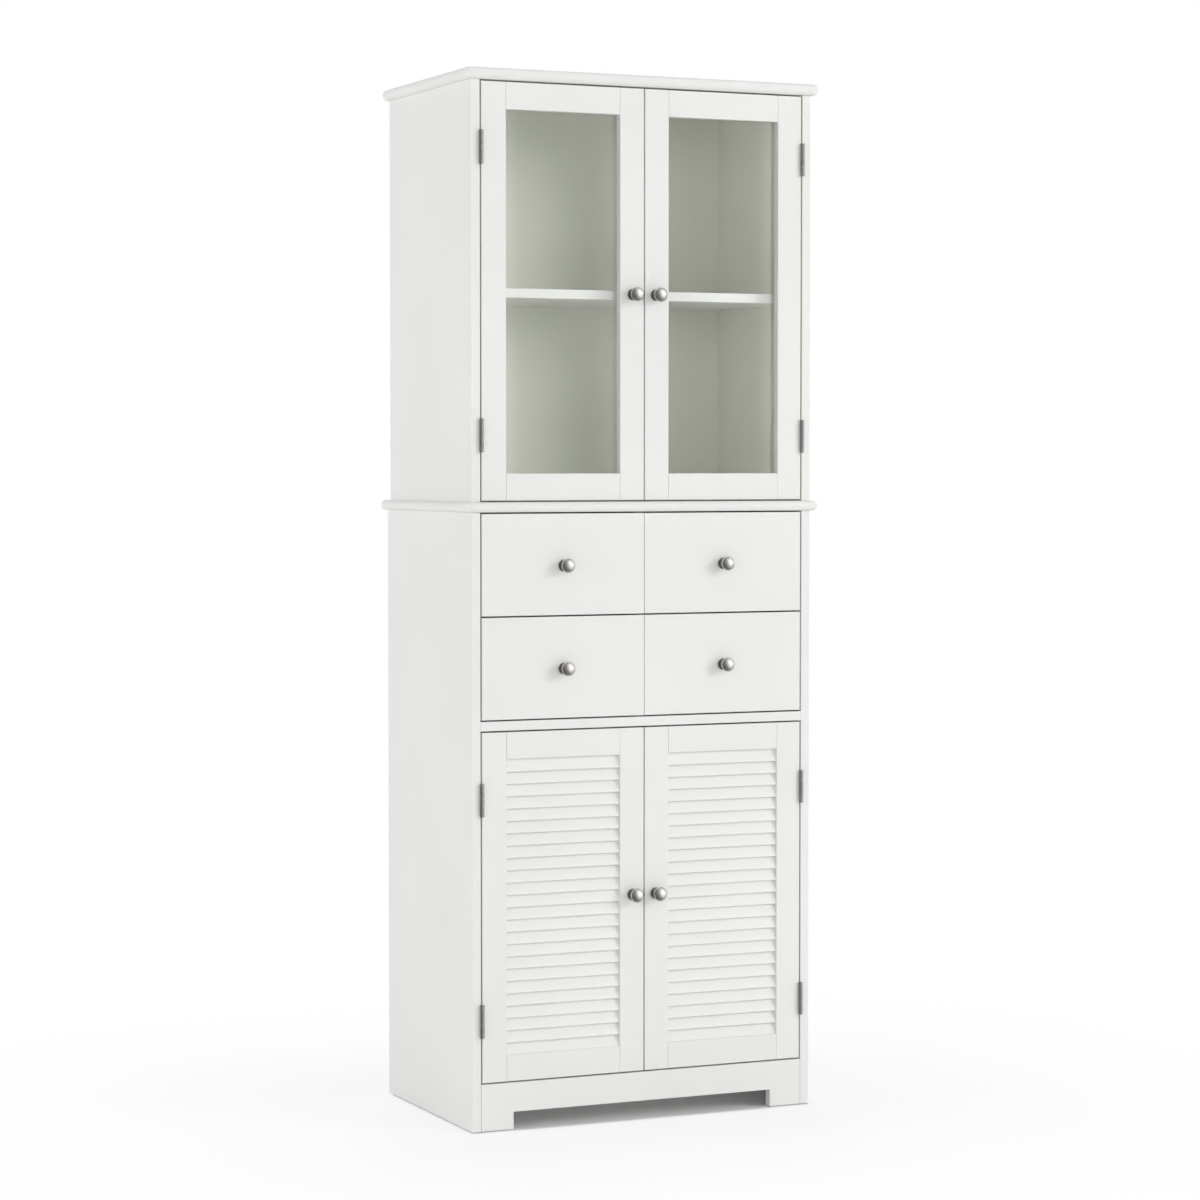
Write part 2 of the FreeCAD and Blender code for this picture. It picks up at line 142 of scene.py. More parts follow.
class Grain(Enum):
    """The way a board's fibres run, as stretch factors of their pattern along X, Y and Z."""

    ACROSS = (0.06, 1.0, 1.0)
    DEEP = (1.0, 0.06, 1.0)
    UPRIGHT = (1.0, 1.0, 0.06)


class Slot(Enum):
    """Names of material slots for new pieces; nothing in this script uses them."""

    PAINT = "painted_board"
    NICKEL = "satin_nickel"
    STEEL = "plated_steel"
    CATCH = "catch_plastic"


class Ray(Enum):
    """The kinds of ray that glass, floor and surround answer in their own way."""

    CAMERA = "Is Camera Ray"
    DIFFUSE = "Is Diffuse Ray"
    GLOSSY = "Is Glossy Ray"
    SHADOW = "Is Shadow Ray"
    THROUGH = "Is Transmission Ray"


@dataclass(frozen=True)
class Pattern:
    """A noise pattern, by its number of features in a metre and its number of finer layers."""

    scale: float
    detail: float


class NodeSketch:
    """The nodes of a finish or of the surround, laid down step by step."""

    numbers = ("LENGTH", "DOT_PRODUCT")

    def __init__(self, owner: Finish | bpy.types.World, output: str) -> None:
        """Starts with nothing but an output.

        Args:
            owner: What the nodes belong to.
            output: Blender's name of the output node's type.
        """
        owner.use_nodes = True
        self.tree = owner.node_tree
        self.tree.nodes.clear()
        self.output = self.add(output)

    def add(self, kind: str, **inputs: Source) -> bpy.types.Node:
        """Adds a node and feeds its inputs.

        Args:
            kind: Blender's name of the node's type.
            inputs: Outputs or values by input name, with spaces written as underscores.

        Returns:
            The new node.
        """
        node = self.tree.nodes.new(kind)
        self.feed(node, **inputs)
        return node

    def feed(self, node: bpy.types.Node, **inputs: Source) -> None:
        """Feeds a node's inputs by name, with spaces written as underscores."""
        for name, given in inputs.items():
            self.give(node.inputs[name.replace("_", " ")], given)

    def give(self, target: Socket, given: Source) -> None:
        """Links an input to an output, or sets it to a value.

        Args:
            target: The input.
            given: The output or the value.
        """
        if isinstance(given, Socket):
            self.tree.links.new(given, target)
        else:
            target.default_value = given

    def operate(self, kind: str, operation: str, inputs: Iterable[Source]) -> bpy.types.Node:
        """Adds a node that does one of several operations.

        Args:
            kind: Blender's name of the node's type.
            operation: Blender's name of the operation.
            inputs: Outputs or values, in the order of the node's inputs.

        Returns:
            The new node.
        """
        node = self.add(kind)
        node.operation = operation
        for target, given in zip(node.inputs, inputs):
            self.give(target, given)
        return node

    def compute(self, operation: str, *inputs: Source) -> Socket:
        """Works a number out from numbers."""
        return self.operate("ShaderNodeMath", operation, inputs).outputs["Value"]

    def measure(self, operation: str, *inputs: Source) -> Socket:
        """Works a vector, or a number where the operation gives one, out from vectors."""
        node = self.operate("ShaderNodeVectorMath", operation, inputs)
        return node.outputs["Value" if operation in self.numbers else "Vector"]

    def along(self, axis: str, vector: Socket) -> Socket:
        """Gives a vector's part along X, Y or Z."""
        return self.add("ShaderNodeSeparateXYZ", Vector=vector).outputs[axis]

    def asked_by(self, ray: Ray) -> Socket:
        """Tells whether a kind of ray is asking."""
        return self.add("ShaderNodeLightPath").outputs[ray.value]

    def place(self, stretch: Place = (1, 1, 1), centre: Place = (0, 0, 0)) -> Socket:
        """Gives the point on the piece, stretched about a centre.

        Args:
            stretch: Factor of the pattern along X, Y and Z.
            centre: Point that the pattern is centred on.

        Returns:
            The vector output.
        """
        point = self.add("ShaderNodeTexCoord").outputs["Object"]
        shift = tuple(-c * s for c, s in zip(centre, stretch))
        mapping = self.add("ShaderNodeMapping", Vector=point, Location=shift, Scale=stretch)
        return mapping.outputs["Vector"]

    def noise(self, point: Socket, pattern: Pattern) -> Socket:
        """Adds a noise pattern that reads a point, and gives its value."""
        scale, detail = pattern.scale, pattern.detail
        return self.add("ShaderNodeTexNoise", Vector=point, Scale=scale, Detail=detail).outputs[0]

    def spread(self, value: Socket, to: Range = UNIT, over: Range = NOISE_SPAN) -> Socket:
        """Spreads a pattern over a range of values.

        Args:
            value: Pattern value.
            to: Results at the ends.
            over: Pattern values at the ends.

        Returns:
            The spread value.
        """
        node = self.add("ShaderNodeMapRange", Value=value, From_Min=over[0], From_Max=over[1])
        self.feed(node, To_Min=to[0], To_Max=to[1])
        return node.outputs["Result"]

    def ramp(self, value: Socket, stops: Stops) -> Socket:
        """Turns a value into a level that runs through stops.

        Args:
            value: Value that is read.
            stops: Value and level of each stop, in rising order.

        Returns:
            The level.
        """
        (start, first), (end, last) = stops[0], stops[-1]
        node = self.add("ShaderNodeValToRGB", Fac=self.spread(value, over=(start, end)))
        node.color_ramp.interpolation = "EASE"
        points = node.color_ramp.elements
        for point, level in zip(points, (first, last)):
            point.color = (level, level, level, 1.0)
        for place, level in stops[1:-1]:
            points.new((place - start) / (end - start)).color = (level, level, level, 1.0)
        return node.outputs["Color"]

    def blend(self, share: Socket, first: Source, second: Source) -> Socket:
        """Mixes two colours or coloured patterns by a pattern.

        Args:
            share: Share of the second.
            first: Colour at 0.
            second: Colour at 1.

        Returns:
            The mixed colour.
        """
        node = self.add("ShaderNodeMix")
        node.data_type = "RGBA"
        self.give(node.inputs[0], share)
        colours = [socket for socket in node.inputs if socket.type == "RGBA"]
        for target, given in zip(colours, (first, second)):
            self.give(target, given)
        return next(socket for socket in node.outputs if socket.type == "RGBA")

    def relief(self, height: Socket, depth: float, under: Socket | None = None) -> Socket:
        """Adds a bump.

        Args:
            height: Pattern value that stands for the height.
            depth: Height of the pattern.
            under: Normal that this bump lies on.

        Returns:
            The bumped normal.
        """
        node = self.add("ShaderNodeBump", Height=height, Strength=1.0, Distance=depth)
        if under is not None:
            self.feed(node, Normal=under)
        return node.outputs["Normal"]

    def layer(self, share: Socket, under: Socket, over: Socket) -> Socket:
        """Lays one shader over another.

        Args:
            share: Share of the upper shader.
            under: Shader at 0.
            over: Shader at 1.

        Returns:
            The layered shader.
        """
        node = self.add("ShaderNodeMixShader")
        for target, given in zip(node.inputs, (share, under, over)):
            self.give(target, given)
        return node.outputs["Shader"]

    def show(self, surface: Socket) -> None:
        """Makes a shader the one that is seen."""
        self.feed(self.output, Surface=surface)


class FinishSketch(NodeSketch):
    """One finish's nodes around a Principled shader."""

    def __init__(self, name: str) -> None:
        """Starts an empty finish.

        Args:
            name: Name of the finish.
        """
        self.finish = bpy.data.materials.new(name)
        super().__init__(self.finish, "ShaderNodeOutputMaterial")
        self.shader = self.add("ShaderNodeBsdfPrincipled")
        self.show(self.shader.outputs["BSDF"])

    def dress(self, **inputs: Source) -> None:
        """Feeds the shader's inputs by name, with spaces written as underscores."""
        self.feed(self.shader, **inputs)


@dataclass(frozen=True)
class SatinPaint:
    """Sprayed satin paint on board or wood, with a fine stipple and a trace of the grain."""

    name: str
    grain: Grain
    light: Colour = tone(237, 237, 235)
    shade: Colour = tone(233, 233, 231)
    # Greenish tint on the faces that look into the case: a painted shade colour that stands in for
    # the tinted shade inside the glazed case.
    shade_tint: Shades | None = None
    shade_tint_reach: float = 0.2852
    clouds: Pattern = Pattern(4.0, 3.0)
    fibre: Pattern = Pattern(420.0, 4.0)
    peel: Pattern = Pattern(520.0, 1.0)
    sheen: Pattern = Pattern(38.0, 4.0)
    roughness: Range = (0.4, 0.5)
    ripple: float = 0.00001
    stipple: float = 0.000012
    refraction: float = 1.48

    def make(self) -> Finish:
        """Builds the material.

        Returns:
            The paint.
        """
        sketch = FinishSketch(self.name)
        point = sketch.place()
        clouds = sketch.spread(sketch.noise(point, self.clouds))
        colour = sketch.blend(clouds, self.light, self.shade)
        # The faces inside the case take the greenish painted shade tint.
        if self.shade_tint is not None:
            shade_tint = sketch.blend(clouds, *self.shade_tint)
            colour = sketch.blend(self.inner_face(sketch), colour, shade_tint)
        fibre = sketch.noise(sketch.place(stretch=self.grain.value), self.fibre)
        normal = sketch.relief(fibre, self.ripple)
        normal = sketch.relief(sketch.noise(point, self.peel), self.stipple, normal)
        sheen = sketch.spread(sketch.noise(point, self.sheen), self.roughness)
        sketch.dress(Base_Color=colour, Roughness=sheen, Normal=normal, IOR=self.refraction)
        return sketch.finish

    def inner_face(self, sketch: FinishSketch) -> Socket:
        """Marks the face of a side that looks into the case with 1."""
        reach = sketch.compute("ABSOLUTE", sketch.along("X", sketch.place()))
        return sketch.compute("LESS_THAN", reach, self.shade_tint_reach)


@dataclass(frozen=True)
class BoardFoil:
    """Matt paper foil on thin board, with a faint print of fibres."""

    name: str
    grain: Grain
    light: Colour
    shade: Colour
    rear: Shades | None = None
    rear_slope: float = 0.5
    clouds: Pattern = Pattern(5.0, 4.0)
    fibre: Pattern = Pattern(700.0, 3.0)
    roughness: Range = (0.5, 0.62)
    tooth: float = 0.00002

    def make(self) -> Finish:
        """Builds the material.

        Returns:
            The foil.
        """
        sketch = FinishSketch(self.name)
        fibre = sketch.noise(sketch.place(stretch=self.grain.value), self.fibre)
        clouds = sketch.spread(sketch.noise(sketch.place(), self.clouds))
        colour = sketch.blend(clouds, self.light, self.shade)
        if self.rear is not None:
            rear = sketch.blend(clouds, *self.rear)
            colour = sketch.blend(self.rear_face(sketch), colour, rear)
        normal = sketch.relief(fibre, self.tooth)
        sheen = sketch.spread(fibre, self.roughness)
        sketch.dress(Base_Color=colour, Roughness=sheen, Normal=normal)
        return sketch.finish

    def rear_face(self, sketch: FinishSketch) -> Socket:
        """Marks the face of a panel that looks to the back with 1."""
        normal = sketch.add("ShaderNodeTexCoord").outputs["Normal"]
        return sketch.compute("GREATER_THAN", sketch.along("Y", normal), self.rear_slope)


@dataclass(frozen=True)
class ClearGlass:
    """Clear float glass with a trace of green, which lets lamps through to what it shuts in."""

    name: str = "clear_float_glass"
    tint: Colour = (0.985, 0.992, 0.984, 1.0)
    refraction: float = 1.5
    smear: Pattern = Pattern(9.0, 3.0)
    smear_span: Range = (0.45, 0.75)
    roughness: Range = (0.0, 0.012)
    draw: Pattern = Pattern(6.0, 0.0)
    wave: float = 0.00001

    def make(self) -> Finish:
        """Builds the material.

        Returns:
            The glass.
        """
        sketch = FinishSketch(self.name)
        point = sketch.place()
        smear = sketch.spread(sketch.noise(point, self.smear), self.roughness, self.smear_span)
        normal = sketch.relief(sketch.noise(point, self.draw), self.wave)
        sketch.dress(Base_Color=self.tint, Transmission_Weight=1.0, IOR=self.refraction)
        sketch.dress(Roughness=smear, Normal=normal)
        shadow, diffuse = sketch.asked_by(Ray.SHADOW), sketch.asked_by(Ray.DIFFUSE)
        lit = sketch.compute("MAXIMUM", shadow, diffuse)
        clear = sketch.add("ShaderNodeBsdfTransparent", Color=self.tint).outputs["BSDF"]
        sketch.show(sketch.layer(lit, sketch.shader.outputs["BSDF"], clear))
        return sketch.finish


@dataclass(frozen=True)
class TurnedNickel:
    """Satin nickel plate with turning rings about a knob's axis, darkened on its foot and neck by
    painted shade.
    """

    name: str
    centre: Place
    light: Colour = tone(208, 206, 202)
    shade: Colour = tone(190, 188, 184)
    # Darker plate on the foot and neck: painted shade for the hollow under the head.
    hollow_shade: Shades = (tone(150, 148, 143), tone(134, 132, 127))
    hollow_shade_span: Range = (-0.0185, -0.0160)
    rings: Pattern = Pattern(5200.0, 2.0)
    clouds: Pattern = Pattern(160.0, 3.0)
    roughness: Range = (0.15, 0.25)
    groove: float = 0.000004

    def make(self) -> Finish:
        """Builds the material.

        Returns:
            The plate.
        """
        sketch = FinishSketch(self.name)
        point = sketch.place(centre=self.centre)
        radius = sketch.measure("LENGTH", sketch.place(stretch=NO_DEPTH, centre=self.centre))
        depth = sketch.along("Y", point)
        around = sketch.add("ShaderNodeCombineXYZ", X=radius, Y=depth).outputs["Vector"]
        rings = sketch.noise(around, self.rings)
        clouds = sketch.noise(point, self.clouds)
        colour = sketch.blend(sketch.spread(clouds), self.light, self.shade)
        # Painted shade: the plate turns darker towards the door, over the foot and neck.
        hollow_shade = sketch.blend(clouds, *self.hollow_shade)
        colour = sketch.blend(sketch.spread(depth, over=self.hollow_shade_span), colour, hollow_shade)
        sheen = sketch.spread(rings, self.roughness)
        normal = sketch.relief(rings, self.groove)
        sketch.dress(Metallic=1.0, Base_Color=colour, Roughness=sheen, Normal=normal)
        return sketch.finish


@dataclass(frozen=True)
class PlatedSteel:
    """Pressed steel under a dull grey plate, with rolling marks along it."""

    name: str
    light: Colour = tone(176, 175, 172)
    shade: Colour = tone(156, 155, 152)
    marks: Pattern = Pattern(2600.0, 3.0)
    clouds: Pattern = Pattern(120.0, 3.0)
    roughness: Range = (0.56, 0.7)
    scratch: float = 0.000008

    def make(self) -> Finish:
        """Builds the material.

        Returns:
            The plate.
        """
        sketch = FinishSketch(self.name)
        marks = sketch.noise(sketch.place(stretch=Grain.UPRIGHT.value), self.marks)
        clouds = sketch.spread(sketch.noise(sketch.place(), self.clouds))
        colour = sketch.blend(clouds, self.light, self.shade)
        sheen = sketch.spread(marks, self.roughness)
        normal = sketch.relief(marks, self.scratch)
        sketch.dress(Metallic=1.0, Base_Color=colour, Roughness=sheen, Normal=normal)
        return sketch.finish


@dataclass(frozen=True)
class MouldedPlastic:
    """Moulded plastic with a fine spark-eroded grain."""

    name: str
    light: Colour
    shade: Colour
    pits: Pattern = Pattern(1900.0, 2.0)
    flow: Pattern = Pattern(60.0, 2.0)
    roughness: Range = (0.4, 0.52)
    pit_depth: float = 0.00002

    def make(self) -> Finish:
        """Builds the material.

        Returns:
            The plastic.
        """
        sketch = FinishSketch(self.name)
        point = sketch.place()
        pits = sketch.noise(point, self.pits)
        flow = sketch.spread(sketch.noise(point, self.flow))
        colour = sketch.blend(flow, self.light, self.shade)
        sheen = sketch.spread(pits, self.roughness)
        sketch.dress(Base_Color=colour, Roughness=sheen, Normal=sketch.relief(pits, self.pit_depth))
        return sketch.finish


class Workpiece:
    """A new piece on the bench, started from a primitive and shaped with edit tools."""

    def __init__(self, name: str) -> None:
        """Takes over the piece at hand and puts its place and size into its mesh.

        Args:
            name: Name of the piece.
        """
        self.piece = bpy.context.object
        self.piece.name = name
        bpy.ops.object.transform_apply(location=True, rotation=True, scale=True)

    @classmethod
    def rod(cls, name: str, radius: float, low: float, high: float, sides: int) -> "Workpiece":
        """Starts from an upright round bar.

        Args:
            name: Name of the piece.
            radius: Radius of the bar.
            low: Height of its lower end.
            high: Height of its upper end.
            sides: Number of its sides.

        Returns:
            The piece.
        """
        bpy.ops.object.select_all(action="DESELECT")
        bpy.ops.mesh.primitive_cylinder_add(
            vertices=sides, radius=radius, depth=high - low, location=(0, 0, (low + high) / 2)
        )
        return cls(name)

    @classmethod
    def block(cls, name: str, low: Sequence[float], high: Sequence[float]) -> "Workpiece":
        """Starts from a block between two corners.

        Args:
            name: Name of the piece.
            low: Lowest corner.
            high: Highest corner.

        Returns:
            The piece.
        """
        bpy.ops.object.select_all(action="DESELECT")
        middle = [(a + b) / 2 for a, b in zip(low, high)]
        size = [b - a for a, b in zip(low, high)]
        bpy.ops.mesh.primitive_cube_add(size=1.0, location=middle, scale=size)
        return cls(name)

    def take(self) -> None:
        """Selects the piece alone and makes it the active one."""
        bpy.ops.object.select_all(action="DESELECT")
        self.piece.select_set(True)
        bpy.context.view_layer.objects.active = self.piece

    def top(self) -> float:
        """Gives the height of the highest point."""
        return max(point.co.z for point in self.piece.data.vertices)

    def edit(self, kind: str) -> bmesh.types.BMesh:
        """Goes into edit mode with nothing selected.

        Args:
            kind: What gets selected next, FACE or EDGE.

        Returns:
            The mesh that is edited.
        """
        self.take()
        bpy.ops.object.mode_set(mode="EDIT")
        bpy.ops.mesh.select_mode(type=kind)
        bpy.ops.mesh.select_all(action="DESELECT")
        return bmesh.from_edit_mesh(self.piece.data)

    def pick_faces(self, test: Test) -> None:
        """Selects the faces that pass a test.

        Args:
            test: Takes a face's middle and its normal.
        """
        for face in self.edit("FACE").faces:
            face.select_set(test(face.calc_center_median(), face.normal))
        bmesh.update_edit_mesh(self.piece.data)

    def pick_edges(self, test: Test) -> None:
        """Selects the edges that pass a test.

        Args:
            test: Takes the two ends of an edge.
        """
        for edge in self.edit("EDGE").edges:
            edge.select_set(test(edge.verts[0].co, edge.verts[1].co))
        bmesh.update_edit_mesh(self.piece.data)

    def leave(self) -> None:
        """Goes back to object mode."""
        bpy.ops.object.mode_set(mode="OBJECT")

    def draw_rings(self, radius: float, rings: Iterable[tuple[float, float]]) -> None:
        """Draws the top face out ring by ring.

        Args:
            radius: Radius of the top face.
            rings: Radius and height of each ring in turn.
        """
        height = self.top()
        self.pick_faces(lambda middle, way: way.z > ALIGNED and abs(middle.z - height) < TINY)
        for wide, high in rings:
            rise = (0, 0, high - height)
            bpy.ops.mesh.extrude_region_move(TRANSFORM_OT_translate={"value": rise})
            share = wide / radius
            bpy.ops.transform.resize(value=(share, share, 1), center_override=(0, 0, high))
            radius, height = wide, high
        self.leave()

    def draw_faces(self, test: Test, way: Sequence[float]) -> None:
        """Draws picked faces out along a straight way.

        Args:
            test: Takes a face's middle and its normal.
            way: Way that the faces go.
        """
        self.pick_faces(test)
        bpy.ops.mesh.extrude_region_move(TRANSFORM_OT_translate={"value": tuple(way)})
        self.leave()

    def split(self, place: Sequence[float], way: Sequence[float]) -> None:
        """Cuts an edge line around the piece.

        Args:
            place: Point on the cut.
            way: Direction across the cut.
        """
        self.edit("FACE")
        bpy.ops.mesh.select_all(action="SELECT")
        bpy.ops.mesh.bisect(plane_co=tuple(place), plane_no=tuple(way))
        self.leave()

    def ease(self, width: float, steps: int, test: Test) -> None:
        """Rounds picked edges.

        Args:
            width: Width of the rounding.
            steps: Number of facets.
            test: Takes the two ends of an edge.
        """
        self.pick_edges(test)
        bpy.ops.mesh.bevel(offset=width, segments=steps, affect="EDGES")
        self.leave()

    def sink_cross(self, span: float, width: float, depth: float) -> None:
        """Sinks a cross recess into the top.

        Args:
            span: Length of an arm from end to end.
            width: Width of an arm.
            depth: Depth of the recess.
        """
        top = self.top()
        half, slim = span / 2, width / 2
        low, high = (-half, -slim, top - depth), (half, slim, top + depth)
        punch = Workpiece.block("cross_punch", low, high)
        for x in (-slim, slim):
            punch.split((x, 0, 0), (1, 0, 0))
        for sign in (-1, 1):
            punch.draw_faces(
                lambda middle, way: way.y * sign > ALIGNED and abs(middle.x) < slim,
                (0, sign * (half - slim), 0),
            )
        self.cut(punch)

    def cut(self, tool: "Workpiece") -> None:
        """Takes a tool's shape out of the piece and puts the tool away.

        Args:
            tool: The shape to take out.
        """
        change = self.piece.modifiers.new("cut", "BOOLEAN")
        change.operation = "DIFFERENCE"
        change.solver = "EXACT"
        change.object = tool.piece
        bpy.context.view_layer.objects.active = self.piece
        bpy.ops.object.modifier_apply(modifier=change.name)
        tool.put_away()

    def smooth(self, angle: float = 30.0) -> None:
        """Shades the piece smooth where its faces meet at less than an angle."""
        self.take()
        bpy.ops.object.shade_smooth_by_angle(angle=math.radians(angle))

    def copy_to(self, name: str, spots: Iterable[Matrix]) -> bpy.types.Object:
        """Copies the piece to its places and joins the copies.

        Args:
            name: Name of the joined piece.
            spots: Place and turn of each copy.

        Returns:
            The joined piece.
        """
        bpy.ops.object.select_all(action="DESELECT")
        for spot in spots:
            twin = self.piece.copy()
            twin.data = self.piece.data.copy()
            twin.matrix_basis = spot
            bpy.context.scene.collection.objects.link(twin)
            twin.select_set(True)
            bpy.context.view_layer.objects.active = twin
        bpy.ops.object.transform_apply(location=True, rotation=True, scale=True)
        if len(bpy.context.selected_objects) > 1:
            bpy.ops.object.join()
        joined = bpy.context.object
        joined.name = name
        return joined

    def put_away(self) -> None:
        """Takes the piece off the bench."""
        bpy.data.objects.remove(self.piece)


def seat(piece: bpy.types.Object, body: str, finish: Finish) -> None:
    """Dresses a finished piece and lets it ride on its body.

    Args:
        piece: The piece.
        body: Name of the body.
        finish: The finish.
    """
    piece.data.materials.clear()
    piece.data.materials.append(finish)
    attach(piece, body)
    log.info("built %s", piece.name)


def facing(place: Sequence[float], axis: str, degrees: float) -> Matrix:
    """Gives the matrix of a place and a turn about X, Y or Z."""
    return Matrix.Translation(Vector(place)) @ Matrix.Rotation(math.radians(degrees), 4, axis)


class SubAssembly(ABC):
    """A group of pieces that is built and dressed together."""

    @abstractmethod
    def build(self) -> None:
        """Builds and dresses the pieces."""


@dataclass(frozen=True)
class CrossScrew:
    """The head of a screw with a cross recess, which is sized by shares of the head."""

    radius: float
    height: float
    sunk: float = 0.0003
    crown: float = 0.45
    flat: float = 0.35
    arm_span: float = 1.25
    arm_width: float = 0.26
    arm_depth: float = 0.6
    sides: int = 40
    steps: int = 5

    def make(self) -> Workpiece:
        """Models the head, standing up on the origin.

        Returns:
            The head.
        """
        wall = 1 - self.crown
        work = Workpiece.rod(
            "screw_head", self.radius, -self.sunk, self.height * wall, self.sides
        )
        rings = []
        for step in range(1, self.steps + 1):
            turn = math.radians(90 * step / (self.steps + 1))
            wide = self.flat + (1 - self.flat) * math.cos(turn)
            high = wall + self.crown * math.sin(turn)
            rings.append((self.radius * wide, self.height * high))
        work.draw_rings(self.radius, rings)
        span, width = self.radius * self.arm_span, self.radius * self.arm_width
        work.sink_cross(span, width, self.height * self.arm_depth)
        work.smooth()
        return work


@dataclass(frozen=True)
class PinCap:
    """The domed cap on the end of a hinge pin, which is shaped by shares of its size."""

    radius: float = 0.00355
    height: float = 0.00135
    sunk: float = 0.0001
    foot_width: float = 0.94
    foot_height: float = 0.12
    wall: Range = (0.2, 0.45)
    dome_turns: tuple[float, ...] = (25.0, 50.0, 70.0, 84.0)
    sides: int = 40
    smooth_angle: float = 50.0

    def make(self) -> Workpiece:
        """Models the cap, standing up on the origin.

        Returns:
            The cap.
        """
        foot = self.radius * self.foot_width
        work = Workpiece.rod(
            "pin_cap", foot, -self.sunk, self.height * self.foot_height, self.sides
        )
        rings = [(self.radius, self.height * share) for share in self.wall]
        start = self.wall[1]
        for turn in self.dome_turns:
            rise = math.radians(turn)
            high = start + (1 - start) * math.sin(rise)
            rings.append((self.radius * math.cos(rise), self.height * high))
        work.draw_rings(foot, rings)
        work.smooth(self.smooth_angle)
        return work


@dataclass(frozen=True)
class TurnedKnob:
    """A turned knob: a foot disc, a hollow neck and a domed head with a rim."""

    foot_radius: float = 0.0095
    foot_height: float = 0.002
    neck_radius: float = 0.0055
    neck_height: float = 0.0095
    head_radius: float = 0.0115
    head_start: float = 0.0165
    rim_height: float = 0.003
    length: float = 0.026
    edge_ease: float = 0.0008
    ease_steps: int = 4
    sides: int = 64
    steps: int = 8
    tip_share: float = 0.2
    smooth_angle: float = 40.0

    @property
    def rim(self) -> float:
        """Height of the rim's upper edge."""
        return self.head_start + self.rim_height

    def hollow(self, end_radius: float, end_height: float, height: float) -> float:
        """Gives the radius on the hollow between the neck and a wider end.

        Args:
            end_radius: Radius at the end.
            end_height: Height of the end.
            height: Height that is asked for.

        Returns:
            The radius.
        """
        flare, rise = end_radius - self.neck_radius, end_height - self.neck_height
        bend = (flare * flare + rise * rise) / (2 * flare)
        return self.neck_radius + bend - math.sqrt(bend * bend - (height - self.neck_height) ** 2)

    def rings(self) -> list[tuple[float, float]]:
        """Lists the rings from the foot to the tip.

        Returns:
            Radius and height of each ring.
        """
        found = []
        for wide, end, low, high in (
            (self.foot_radius, self.foot_height, self.foot_height, self.neck_height),
            (self.head_radius, self.head_start, self.neck_height, self.head_start),
        ):
            for step in range(1, self.steps + 1):
                height = low + (high - low) * step / self.steps
                found.append((self.hollow(wide, end, height), height))
        found.append((self.head_radius, self.rim))
        rise = self.length - self.rim
        dome = (self.head_radius ** 2 + rise ** 2) / (2 * rise)
        widest = math.asin(self.head_radius / dome)
        for step in range(1, self.steps + 1):
            turn = widest * (1 - step / (self.steps + self.tip_share))
            found.append((dome * math.sin(turn), self.length - dome + dome * math.cos(turn)))
        return found

    def on_edge(self, first: Vector, second: Vector) -> bool:
        """Tells whether an edge lies on one of the three sharp rings.

        Args:
            first: One end of the edge.
            second: Its other end.

        Returns:
            True on a sharp ring.
        """
        for radius, height in (
            (self.foot_radius, self.foot_height),
            (self.head_radius, self.head_start),
            (self.head_radius, self.rim),
        ):
            level = max(abs(end.z - height) for end in (first, second)) < TINY
            if level and max(abs(end.xy.length - radius) for end in (first, second)) < TINY:
                return True
        return False

    def make(self) -> Workpiece:
        """Models the knob, standing up on the origin.

        Returns:
            The knob.
        """
        work = Workpiece.rod("turned_knob", self.foot_radius, 0.0, self.foot_height, self.sides)
        work.draw_rings(self.foot_radius, self.rings())
        work.ease(self.edge_ease, self.ease_steps, self.on_edge)
        work.smooth(self.smooth_angle)
        return work


@dataclass
class Knobs(SubAssembly):
    """The eight knobs and the screws that hold them from behind."""

    steel: Finish
    front_plane: float = -0.174
    door_thickness: float = 0.020
    drawer_thickness: float = 0.015
    screw: CrossScrew = CrossScrew(0.004, 0.0024)

    def build(self) -> None:
        """Models one knob and one screw and copies them to every door and drawer."""
        knob, screw = TurnedKnob().make(), self.screw.make()
        for level in Level:
            for side in Side:
                self.fit(f"{level.value}_{side.value}_door", self.door_thickness, knob, screw)
                self.fit(f"{level.value}_{side.value}_drawer", self.drawer_thickness, knob, screw)
        knob.put_away()
        screw.put_away()

    def fit(self, body: str, thickness: float, knob: Workpiece, screw: Workpiece) -> None:
        """Fits a knob and its screw to a door or drawer.

        Args:
            body: Name of the body.
            thickness: Thickness of what the screw goes through.
            knob: The modelled knob.
            screw: The modelled screw.
        """
        low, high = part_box(f"{body}_knob")
        x, z = (low.x + high.x) / 2, (low.z + high.z) / 2
        foot = (x, self.front_plane, z)
        turned = knob.copy_to(f"{body}_turned_knob", [facing(foot, "X", 90)])
        nickel = TurnedNickel(f"satin_nickel_{body}", foot).make()
        seat(turned, body, nickel)
        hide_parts(f"{body}_knob")
        back = (x, self.front_plane + thickness, z)
        held = screw.copy_to(f"{body}_knob_screw", [facing(back, "X", -90)])
        seat(held, body, self.steel)
        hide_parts(f"{body}_knob")


